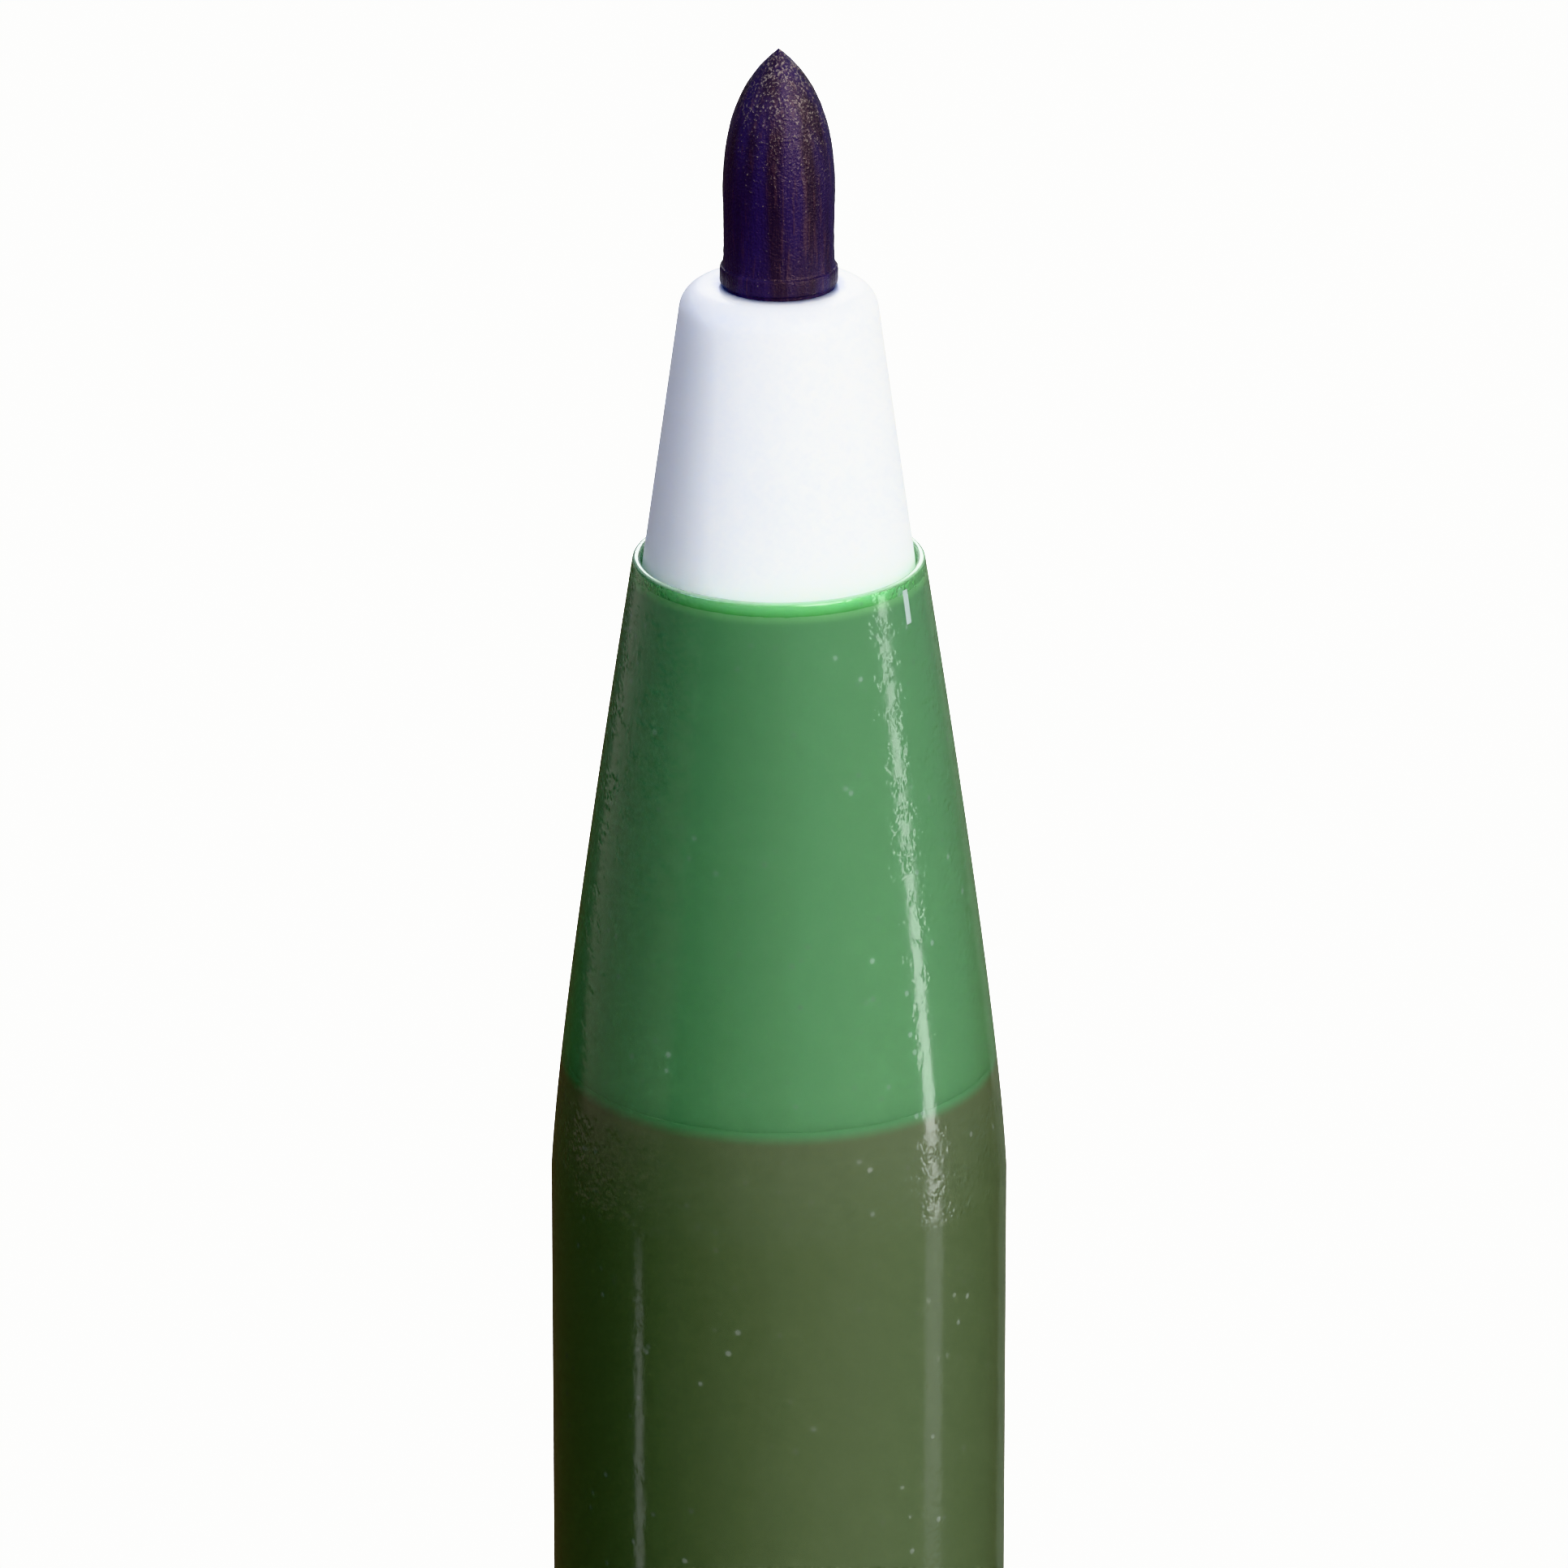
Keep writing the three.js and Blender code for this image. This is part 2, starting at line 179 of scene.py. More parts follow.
def newMaterial(name):
    material = bpy.data.materials.new(name)
    material.use_nodes = True
    material.node_tree.nodes.clear()
    return material, material.node_tree


def inMillimetres(tree):  # the piece's own coordinates in millimetres
    place = addNode(tree, "ShaderNodeTexCoord", {})
    return addNode(tree, "ShaderNodeMapping", {
        "Vector": place.outputs["Object"], "Scale": (1 / mm,) * 3,
    }).outputs[0]


# sizes that several pieces share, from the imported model
barrelLow, barrelHigh = boxOf("barrel")
holderLow, holderHigh = boxOf("nib_holder")
nibLow, nibHigh = boxOf("nib")
filmLow, filmHigh = boxOf("reservoir_film")
plugLow, plugHigh = boxOf("end_plug")
shellLow, shellHigh = boxOf("cap_shell")
linerLow, linerHigh = boxOf("cap_liner")
crownHigh = boxOf("cap_crown")[1]
clipLow, clipHigh = boxOf("cap_clip")
mouthHeight = barrelHigh.z
print("frame loaded:", len(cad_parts), "nodes")


greenValues = {
    "bodyColour": "#7fa988",
    # painted glow: a brighter green painted on the thin wall under the lip
    "lipGlowColour": "#a4dfa4",
    "speckColour": "#c6ccd2",
    "lipGlowBand": (0.28, 0.5),  # painted glow: the thin wall of the mouth is painted a brighter green, fading between these depths
    "edgeHighlightColour": "#c6e4c9",  # painted highlight: the very edge is painted pale, where the rounded lip catches the light
    "edgeHighlightBand": (0.0, 0.07),
    "roughness": (0.1, 0.15),  # where it is glossy, and where it is worn
    "transmission": (0.95, 0.55),  # of the wall, and of the pale marks: the painted edge highlight, the dust and the pale dash
    "index": 1.49,
    "absorbColour": "#30b75e",
    "absorbDensity": 250.0,  # per metre of wall
    "pitSize": 0.15,  # pitting left by handling, worst near the mouth, coarse enough to show
    "rubSize": 0.38,  # in patches of this size, from polished to pitted
    "rubBand": (0.42, 0.6),
    "polished": 0.12,
    "pitBand": (4.0, 11.5),  # worst above the first depth, least below the second
    "leastWorn": 0.2,
    "pitDepth": 0.025,
    "scuffBand": (13.1, 1.1),  # also rubbed round the foot of the cone: depth and half width
    "speckSpacing": 0.5,  # dust specks
    "speckSize": (0.08, 0.18),  # share of the spacing
    "dustScale": 0.4,  # per millimetre, of the patches where dust has settled
    "dustBand": (0.46, 0.58),
    "dustShare": 0.45,
    "throughColour": "#8fad93",  # tint of the light that reaches the inner pieces
    "dashTurn": 58,  # one short pale dash under the lip, at this many degrees from the front
    "dashBand": (0.2, 0.95),  # depth below the mouth
    "dashWidth": 0.19,
}


def translucentPolypropylene(name, values, mouth):
    # injection-moulded polypropylene: a milky see-through green with a satin skin
    material, tree = newMaterial(name)
    place = inMillimetres(tree)
    parts = addNode(tree, "ShaderNodeSeparateXYZ", {"Vector": place})
    along = parts.outputs["Z"]
    nearBand, farBand = values["lipGlowBand"]
    lip = addNode(tree, "ShaderNodeMapRange", {
        "Value": along, "From Min": mouth - farBand, "From Max": mouth - nearBand,
    }, interpolation_type="SMOOTHSTEP")
    wornAbove, wornBelow = values["pitBand"]
    handled = addNode(tree, "ShaderNodeMapRange", {
        "Value": along, "From Min": mouth - wornBelow, "From Max": mouth - wornAbove,
        "To Min": values["leastWorn"],
    }, interpolation_type="SMOOTHSTEP")
    scuffDepth, scuffWidth = values["scuffBand"]
    scuff = addNode(tree, "ShaderNodeMath", {
        0: along, 1: mouth - scuffDepth, 2: scuffWidth,
    }, operation="COMPARE")
    either = addNode(tree, "ShaderNodeMath", {
        0: handled.outputs[0], 1: scuff.outputs[0],
    }, operation="MAXIMUM")
    edgeNear, edgeFar = values["edgeHighlightBand"]
    edge = addNode(tree, "ShaderNodeMapRange", {
        "Value": along, "From Min": mouth - edgeFar, "From Max": mouth - edgeNear,
    }, interpolation_type="SMOOTHSTEP")
    worn = addNode(tree, "ShaderNodeMath", {
        0: either.outputs[0], 1: edge.outputs[0],
    }, operation="SUBTRACT")
    worn.use_clamp = True
    patches = addNode(tree, "ShaderNodeTexNoise", {
        "Vector": place, "Scale": values["dustScale"], "Detail": 3.0,
    })
    cells = addNode(tree, "ShaderNodeTexVoronoi", {"Vector": place, "Scale": 1 / values["speckSpacing"]})
    small, large = values["speckSize"]
    speck = addNode(tree, "ShaderNodeMapRange", {
        "Value": cells.outputs["Distance"], "From Min": large, "From Max": small,
    })
    thin, thick = values["dustBand"]
    dusty = addNode(tree, "ShaderNodeMapRange", {
        "Value": patches.outputs["Fac"], "From Min": thin, "From Max": thick, "To Max": values["dustShare"],
    })
    dust = addNode(tree, "ShaderNodeMath", {0: speck.outputs[0], 1: dusty.outputs[0]}, operation="MULTIPLY")
    turn = math.radians(values["dashTurn"])
    sideways = addNode(tree, "ShaderNodeVectorMath", {
        0: place, 1: (math.cos(turn), math.sin(turn), 0),
    }, operation="DOT_PRODUCT")
    dashTop, dashEnd = values["dashBand"]
    across = addNode(tree, "ShaderNodeMath", {
        0: sideways.outputs["Value"], 1: 0.0, 2: values["dashWidth"] / 2,
    }, operation="COMPARE")
    down = addNode(tree, "ShaderNodeMath", {
        0: along, 1: mouth - (dashTop + dashEnd) / 2, 2: (dashEnd - dashTop) / 2,
    }, operation="COMPARE")
    onRight = addNode(tree, "ShaderNodeMath", {0: parts.outputs["X"], 1: 0.0}, operation="GREATER_THAN")
    stripe = addNode(tree, "ShaderNodeMath", {
        0: across.outputs[0], 1: onRight.outputs[0],
    }, operation="MULTIPLY")
    paleDash = addNode(tree, "ShaderNodeMath", {0: stripe.outputs[0], 1: down.outputs[0]}, operation="MULTIPLY")
    pale = addNode(tree, "ShaderNodeMath", {0: dust.outputs[0], 1: paleDash.outputs[0]}, operation="MAXIMUM")
    # painted glow: the wall turns a brighter green under the lip
    wall = addNode(tree, "ShaderNodeMix", {
        0: lip.outputs[0], 6: hexColour(values["bodyColour"]), 7: hexColour(values["lipGlowColour"]),
    }, data_type="RGBA")
    # painted highlight: the very edge of the mouth turns pale
    highlightedEdge = addNode(tree, "ShaderNodeMix", {
        0: edge.outputs[0], 6: wall.outputs[2], 7: hexColour(values["edgeHighlightColour"]),
    }, data_type="RGBA")
    colour = addNode(tree, "ShaderNodeMix", {
        0: pale.outputs[0], 6: highlightedEdge.outputs[2], 7: hexColour(values["speckColour"]),
    }, data_type="RGBA")
    marked = addNode(tree, "ShaderNodeMath", {0: edge.outputs[0], 1: pale.outputs[0]}, operation="MAXIMUM")
    clearWall, clearMark = values["transmission"]
    clear = clearWall
    if clearMark != clearWall:
        clear = addNode(tree, "ShaderNodeMapRange", {
            "Value": marked.outputs[0], "To Min": clearWall, "To Max": clearMark,
        }).outputs[0]
    pits = addNode(tree, "ShaderNodeTexNoise", {
        "Vector": place, "Scale": 1 / values["pitSize"], "Detail": 1.0,
    })
    rubs = addNode(tree, "ShaderNodeTexNoise", {
        "Vector": place, "Scale": 1 / values["rubSize"], "Detail": 1.0,
    })
    smooth, dented = values["rubBand"]
    pitted = addNode(tree, "ShaderNodeMapRange", {
        "Value": rubs.outputs["Fac"], "From Min": smooth, "From Max": dented, "To Min": values["polished"],
    })
    strength = addNode(tree, "ShaderNodeMath", {
        0: pitted.outputs[0], 1: worn.outputs[0],
    }, operation="MULTIPLY")
    glossy, satin = values["roughness"]
    gloss = glossy
    if satin != glossy:
        gloss = addNode(tree, "ShaderNodeMapRange", {
            "Value": worn.outputs[0], "To Min": glossy, "To Max": satin,
        }).outputs[0]
    skin = addNode(tree, "ShaderNodeBump", {
        "Height": pits.outputs["Fac"], "Strength": strength.outputs[0], "Distance": values["pitDepth"] * mm,
    })
    plastic = addNode(tree, "ShaderNodeBsdfPrincipled", {
        "Base Color": colour.outputs[2], "Roughness": gloss, "Normal": skin.outputs[0],
        "IOR": values["index"], "Transmission Weight": clear,
    })
    passed = addNode(tree, "ShaderNodeBsdfTransparent", {"Color": hexColour(values["throughColour"])})
    light = addNode(tree, "ShaderNodeLightPath", {})
    surface = addNode(tree, "ShaderNodeMixShader", {
        0: light.outputs["Is Shadow Ray"], 1: plastic.outputs[0], 2: passed.outputs[0],
    })
    depth = addNode(tree, "ShaderNodeVolumeAbsorption", {
        "Color": hexColour(values["absorbColour"]), "Density": values["absorbDensity"],
    })
    addNode(tree, "ShaderNodeOutputMaterial", {"Surface": surface.outputs[0], "Volume": depth.outputs[0]})
    return material


whiteValues = {
    "colour": "#f4f8ff",
    "shadeColour": "#eef2fb",
    "seatShadeColours": ("#a9b5a8", "#d2d0ca"),  # painted shade: the white seat inside the barrel is painted grey, darkest at the mouth where more light reaches it, lighter at the back
    "seatShadeBand": (0.6, 11.0),  # depths below the mouth between which the first turns to the second
    "bareBand": (0.16, 0.36),  # and over which the bare white turns to the seat's painted shade
    "seatScatter": 0.4,
    "scatterBand": (0.3, 0.95),
    "cloudScale": 0.5,  # per millimetre, of the drifts between the two whites
    "roughness": 0.36,
    "index": 1.49,
    "scatter": 0.9,
    "scatterDepth": 1.6,
    "scatterReach": (0.9, 0.96, 1.05),  # bluish where the light has come far
    "grain": 0.35,  # faint orange peel of the mould
    "grainStrength": 0.5,
    "grainDepth": 0.004,
    "inkColour": "#8f9ccb",  # ink that has crept out of the nib
    "inkReach": 0.16,
    "inkScale": 2.5,  # per millimetre, of the unevenness of its edge
    "inkBand": (0.05, 0.15),  # only this near the holder's face
}


def whitePolypropylene(name, values, inkRadius=None, inkHeight=0.0, mouth=0.0):
    # injection-moulded white polypropylene: soft sheen, a little light soaks in
    material, tree = newMaterial(name)
    place = inMillimetres(tree)
    cloud = addNode(tree, "ShaderNodeTexNoise", {
        "Vector": place, "Scale": values["cloudScale"], "Detail": 2.0,
    })
    white = addNode(tree, "ShaderNodeMix", {
        0: cloud.outputs["Fac"], 6: hexColour(values["colour"]), 7: hexColour(values["shadeColour"]),
    }, data_type="RGBA")
    colour, scatter = white.outputs[2], values["scatter"]
    if inkRadius:
        parts = addNode(tree, "ShaderNodeSeparateXYZ", {"Vector": place})
        openDepth, closedDepth = values["scatterBand"]
        scatter = addNode(tree, "ShaderNodeMapRange", {
            "Value": parts.outputs["Z"], "From Min": mouth - closedDepth, "From Max": mouth - openDepth,
            "To Min": values["seatScatter"], "To Max": values["scatter"],
        }).outputs[0]
        # painted shade: the seat inside the barrel is greyed, most at the mouth
        seatStart, seatEnd = values["seatShadeBand"]
        deep = addNode(tree, "ShaderNodeMapRange", {
            "Value": parts.outputs["Z"], "From Min": mouth - seatStart, "From Max": mouth - seatEnd,
        })
        mouthShade, backShade = values["seatShadeColours"]
        seat = addNode(tree, "ShaderNodeMix", {
            0: deep.outputs[0], 6: hexColour(mouthShade), 7: hexColour(backShade),
        }, data_type="RGBA")
        bareEnd, seatTop = values["bareBand"]
        bare = addNode(tree, "ShaderNodeMapRange", {
            "Value": parts.outputs["Z"], "From Min": mouth - seatTop, "From Max": mouth - bareEnd,
        })
        colour = addNode(tree, "ShaderNodeMix", {
            0: bare.outputs[0], 6: seat.outputs[2], 7: colour,
        }, data_type="RGBA").outputs[2]
        flat = addNode(tree, "ShaderNodeCombineXYZ", {"X": parts.outputs["X"], "Y": parts.outputs["Y"]})
        reach = addNode(tree, "ShaderNodeVectorMath", {0: flat.outputs[0]}, operation="LENGTH")
        wobble = addNode(tree, "ShaderNodeTexNoise", {
            "Vector": place, "Scale": values["inkScale"], "Detail": 2.0,
        })
        uneven = addNode(tree, "ShaderNodeMath", {
            0: wobble.outputs["Fac"], 1: values["inkReach"], 2: reach.outputs["Value"],
        }, operation="MULTIPLY_ADD")
        near = addNode(tree, "ShaderNodeMapRange", {
            "Value": uneven.outputs[0], "From Min": inkRadius + 2 * values["inkReach"], "From Max": inkRadius,
        }, interpolation_type="SMOOTHSTEP")
        inkTop, inkEnd = values["inkBand"]
        top = addNode(tree, "ShaderNodeMapRange", {
            "Value": parts.outputs["Z"], "From Min": inkHeight - inkEnd, "From Max": inkHeight - inkTop,
        })
        stain = addNode(tree, "ShaderNodeMath", {0: near.outputs[0], 1: top.outputs[0]}, operation="MULTIPLY")
        inked = addNode(tree, "ShaderNodeMix", {
            0: stain.outputs[0], 6: colour, 7: hexColour(values["inkColour"]),
        }, data_type="RGBA")
        colour = inked.outputs[2]
    peel = addNode(tree, "ShaderNodeTexNoise", {"Vector": place, "Scale": 1 / values["grain"], "Detail": 2.0})
    skin = addNode(tree, "ShaderNodeBump", {
        "Height": peel.outputs["Fac"], "Strength": values["grainStrength"],
        "Distance": values["grainDepth"] * mm,
    })
    plastic = addNode(tree, "ShaderNodeBsdfPrincipled", {
        "Base Color": colour, "Roughness": values["roughness"], "IOR": values["index"],
        "Normal": skin.outputs[0],
        "Subsurface Weight": scatter, "Subsurface Scale": values["scatterDepth"] * mm,
        "Subsurface Radius": values["scatterReach"],
    })
    addNode(tree, "ShaderNodeOutputMaterial", {"Surface": plastic.outputs[0]})
    return material


fibreValues = {
    "deepColour": "#211d29",
    "inkColour": "#282342",
    "brownColour": "#4a3a40",
    "tanGlintColour": "#857a74",
    "fibreWidth": 0.11,  # bundles of fibres; single ones are too fine to show
    "fibreStretch": 14.0,
    "inkScale": 2.2,  # per millimetre, of the drifts between the two ink colours
    "inkBand": (0.38, 0.62),
    "threadBand": (0.55, 0.72),
    "threadShare": 0.7,
    "tipLength": 3.6,  # painted glints: pale cut fibre ends over this length from the point
    "tipEnd": 0.4,
    "endSpacing": 0.06,
    "glintLift": 0.16,  # painted highlight: how much more of them show at the point, whose slopes face the light above
    "endBand": (0.68, 0.8),
    "glintShare": 0.85,
    "roughness": (0.22, 0.54),
    "index": 1.5,
    "glossTint": "#d8b4b0",
    "fibreStrength": 0.9,
    "fibreDepth": 0.035,
}


def bondedFibre(name, values, tip):
    # ground rod of bonded acrylic fibre soaked in violet ink: dark, with its cut fibre ends painted pale as
    # glints, most at the point
    material, tree = newMaterial(name)
    place = inMillimetres(tree)
    squash = addNode(tree, "ShaderNodeMapping", {
        "Vector": place, "Scale": (1, 1, 1 / values["fibreStretch"]),
    })
    strands = addNode(tree, "ShaderNodeTexNoise", {
        "Vector": squash.outputs[0], "Scale": 1 / values["fibreWidth"], "Detail": 3.0, "Roughness": 0.65,
    })
    drifts = addNode(tree, "ShaderNodeTexNoise", {
        "Vector": squash.outputs[0], "Scale": values["inkScale"], "Detail": 1.0,
    })
    deep, bright = values["inkBand"]
    inkMix = addNode(tree, "ShaderNodeMapRange", {
        "Value": drifts.outputs["Fac"], "From Min": deep, "From Max": bright,
    })
    ink = addNode(tree, "ShaderNodeMix", {
        0: inkMix.outputs[0], 6: hexColour(values["deepColour"]), 7: hexColour(values["inkColour"]),
    }, data_type="RGBA")
    low, high = values["threadBand"]
    thread = addNode(tree, "ShaderNodeMapRange", {
        "Value": strands.outputs["Fac"], "From Min": low, "From Max": high, "To Max": values["threadShare"],
    })
    brown = addNode(tree, "ShaderNodeMix", {
        0: thread.outputs[0], 6: ink.outputs[2], 7: hexColour(values["brownColour"]),
    }, data_type="RGBA")
    along = addNode(tree, "ShaderNodeSeparateXYZ", {"Vector": place}).outputs["Z"]
    point = addNode(tree, "ShaderNodeMapRange", {
        "Value": along, "From Min": tip - values["tipLength"], "From Max": tip - values["tipEnd"],
        "To Max": values["glintLift"],
    })
    ends = addNode(tree, "ShaderNodeTexNoise", {
        "Vector": place, "Scale": 1 / values["endSpacing"], "Detail": 2.0, "Roughness": 0.7,
    })
    raised = addNode(tree, "ShaderNodeMath", {0: ends.outputs["Fac"], 1: point.outputs[0]}, operation="ADD")
    low, high = values["endBand"]
    glint = addNode(tree, "ShaderNodeMapRange", {
        "Value": raised.outputs[0], "From Min": low, "From Max": high, "To Max": values["glintShare"],
    })
    # painted glints: tan specks of cut fibre ends, more of them towards the point
    colour = addNode(tree, "ShaderNodeMix", {
        0: glint.outputs[0], 6: brown.outputs[2], 7: hexColour(values["tanGlintColour"]),
    }, data_type="RGBA")
    smooth, matt = values["roughness"]
    rough = addNode(tree, "ShaderNodeMapRange", {
        "Value": ends.outputs["Fac"], "To Min": smooth, "To Max": matt,
    })
    relief = addNode(tree, "ShaderNodeMath", {
        0: strands.outputs["Fac"], 1: ends.outputs["Fac"],
    }, operation="ADD")
    skin = addNode(tree, "ShaderNodeBump", {
        "Height": relief.outputs[0], "Strength": values["fibreStrength"],
        "Distance": values["fibreDepth"] * mm,
    })
    fibre = addNode(tree, "ShaderNodeBsdfPrincipled", {
        "Base Color": colour.outputs[2], "Roughness": rough.outputs[0], "Normal": skin.outputs[0],
        "IOR": values["index"], "Specular Tint": hexColour(values["glossTint"]),
    })
    addNode(tree, "ShaderNodeOutputMaterial", {"Surface": fibre.outputs[0]})
    return material


filmValues = {
    "colour": "#e6a4b1",
    "patchColour": "#d99ba4",
    "roughness": 0.3,
    "index": 1.5,
    "wrinkle": 1.6,
    "wrinkleSquash": 0.15,  # lengthwise, so that the wrinkles run along the pen
    "wrinkleStrength": 0.6,
    "wrinkleDepth": 0.02,
    "topBlendColour": "#d2d0ca",  # paler towards its top, where it turns to the seat's grey
    "endBand": 0.35,
}


def wrappedFilm(name, values, top):
    # thin plastic film drawn tight round ink-soaked fibre: glossy, faintly wrinkled lengthwise
    material, tree = newMaterial(name)
    place = inMillimetres(tree)
    squash = addNode(tree, "ShaderNodeMapping", {"Vector": place, "Scale": (1, 1, values["wrinkleSquash"])})
    folds = addNode(tree, "ShaderNodeTexNoise", {
        "Vector": squash.outputs[0], "Scale": 1 / values["wrinkle"], "Detail": 3.0,
    })
    colour = addNode(tree, "ShaderNodeMix", {
        0: folds.outputs["Fac"], 6: hexColour(values["colour"]), 7: hexColour(values["patchColour"]),
    }, data_type="RGBA")
    skin = addNode(tree, "ShaderNodeBump", {
        "Height": folds.outputs["Fac"], "Strength": values["wrinkleStrength"],
        "Distance": values["wrinkleDepth"] * mm,
    })
    along = addNode(tree, "ShaderNodeSeparateXYZ", {"Vector": place}).outputs["Z"]
    towardsTop = addNode(tree, "ShaderNodeMapRange", {
        "Value": along, "From Min": top - values["endBand"], "From Max": top,
    }, interpolation_type="SMOOTHSTEP")
    ended = addNode(tree, "ShaderNodeMix", {
        0: towardsTop.outputs[0], 6: colour.outputs[2], 7: hexColour(values["topBlendColour"]),
    }, data_type="RGBA")
    film = addNode(tree, "ShaderNodeBsdfPrincipled", {
        "Base Color": ended.outputs[2], "Roughness": values["roughness"], "Normal": skin.outputs[0],
        "IOR": values["index"],
    })
    addNode(tree, "ShaderNodeOutputMaterial", {"Surface": film.outputs[0]})
    return material


violetValues = {
    "colour": "#3a2670",
    "rubbedColour": "#4d3a86",
    "roughness": (0.2, 0.34),
    "index": 1.49,
    "rubSize": 2.0,
    "grainScale": 3.0,  # per millimetre
    "grainStrength": 0.5,
    "grainDepth": 0.003,
}


def opaquePolypropylene(name, values):
    # injection-moulded polypropylene, coloured right through: clean gloss with light rubbing
    material, tree = newMaterial(name)
    place = inMillimetres(tree)
    rub = addNode(tree, "ShaderNodeTexNoise", {
        "Vector": place, "Scale": 1 / values["rubSize"], "Detail": 4.0,
    })
    colour = addNode(tree, "ShaderNodeMix", {
        0: rub.outputs["Fac"], 6: hexColour(values["colour"]), 7: hexColour(values["rubbedColour"]),
    }, data_type="RGBA")
    smooth, dull = values["roughness"]
    gloss = addNode(tree, "ShaderNodeMapRange", {
        "Value": rub.outputs["Fac"], "To Min": smooth, "To Max": dull,
    })
    peel = addNode(tree, "ShaderNodeTexNoise", {
        "Vector": place, "Scale": values["grainScale"], "Detail": 2.0,
    })
    skin = addNode(tree, "ShaderNodeBump", {
        "Height": peel.outputs["Fac"], "Strength": values["grainStrength"],
        "Distance": values["grainDepth"] * mm,
    })
    plastic = addNode(tree, "ShaderNodeBsdfPrincipled", {
        "Base Color": colour.outputs[2], "Roughness": gloss.outputs[0], "Normal": skin.outputs[0],
        "IOR": values["index"],
    })
    addNode(tree, "ShaderNodeOutputMaterial", {"Surface": plastic.outputs[0]})
    return material


capGreenValues = {
    **greenValues,
    "bodyColour": "#7fc08a",
    "roughness": (0.11, 0.11),  # the same all over, as its transmission is
    "transmission": (0.55, 0.55),
    "throughColour": "#c2e2c4",
    "unmarkedHeight": 20,  # the marks near the mouth stay this far above the cap
}

barrelGreen = translucentPolypropylene("translucent green polypropylene, moulded", greenValues, mouthHeight)
aboveCap = shellHigh.z + capGreenValues["unmarkedHeight"]
capGreen = translucentPolypropylene("translucent green polypropylene, cap", capGreenValues, aboveCap)
holderWhite = whitePolypropylene(
    "white polypropylene, inked edge", whiteValues, nibHigh.x, holderHigh.z, mouthHeight)
plainWhite = whitePolypropylene("white polypropylene, moulded", whiteValues)
nibFibre = bondedFibre("bonded fibre soaked with violet ink", fibreValues, nibHigh.z)
towFibre = bondedFibre("fibre tow soaked with violet ink", fibreValues, nibHigh.z)
inkFilm = wrappedFilm("clear film over inked fibre", filmValues, holderLow.z)
crownViolet = opaquePolypropylene("violet polypropylene, moulded", violetValues)
print("materials made")


barrelValues = {
    "wall": 0.85,
    "mouthRadius": 3.17,
    "mouthWall": 0.18,
    "coneLength": 14.2,
    "coneFullness": 0.76,
    "coneBend": 0.966,
    "rearRound": 0.18,
    "freeLip": 0.02,  # below this much of the lip the bore closes on to what is inside it
    "closeLength": 0.3,
    "press": 0.01,  # contact, so that the wall shows what it touches right out to its sides
}
mouthBore = barrelValues["mouthRadius"] - barrelValues["mouthWall"]
lipHeight = mouthHeight - barrelValues["mouthWall"] / 2
coneBase = mouthHeight - barrelValues["coneLength"]


def makeBarrel(values):
    outer, rear = barrelHigh.x, barrelLow.z
    bore = outer - values["wall"]
    seatSlope = (filmHigh.x + pushFit - mouthBore) / (lipHeight - filmHigh.z)
    bend = (values["coneBend"] * outer, mouthHeight - values["coneFullness"] * values["coneLength"])
    halfLip = values["mouthWall"] / 2
    rearRound = values["rearRound"]
    outline = [(bore, rear)]
    outline += arcPoints(outer - rearRound, rear + rearRound, rearRound, -90, 0, 4)
    outline += curvePoints([(outer, coneBase), bend, (values["mouthRadius"], lipHeight)], 40)
    outline += arcPoints(values["mouthRadius"] - halfLip, lipHeight, halfLip, 0, 180, 8)[1:]
    freeHeight = lipHeight - values["freeLip"]
    pressed = pushFit + values["press"]
    outline += [(mouthBore + seatSlope * values["freeLip"], freeHeight)]
    contact = values["freeLip"] + values["closeLength"]
    outline += [(mouthBore + seatSlope * contact - pressed, lipHeight - contact)]
    outline += [(filmHigh.x - values["press"], holderLow.z), (filmHigh.x - values["press"], filmLow.z)]
    outline += [(bore, filmLow.z - pressed), (bore, rear)]
    barrel = turnPiece("barrelShell", outline)
    finish(barrel, "pen", "barrel", barrelGreen, "barrel")
    return barrel


makeBarrel(barrelValues)
print("barrel made")


nibValues = {
    "radius": 1.21,
    "pointLength": 3.2,
    "shoulder": 0.41,
    "crest": 0.16,
    "crestRadius": 0.51,
    "beadHeight": 0.45,
    "neck": 0.02,  # slightly waisted above the bead
    "neckStart": 0.4,
    "tailPoint": 1.4,
    "fuzz": 0.018,  # ground fibre ends stand this proud
    "fuzzSize": 0.13,
    "fuzzLevel": 0.6,  # noise above this stands out, and below it sinks in
}

holderValues = {
    "faceRadius": 2.07,
    "frontRound": 0.6,
    "boreFit": 0.005,
    "boreEase": 0.03,
    "skirtWall": 0.8,
    "skirtDepth": 6,
    "tubeWall": 0.75,
    "tubeSetback": 1.2,
    "webCount": 4,
    "webThickness": 0.7,
}


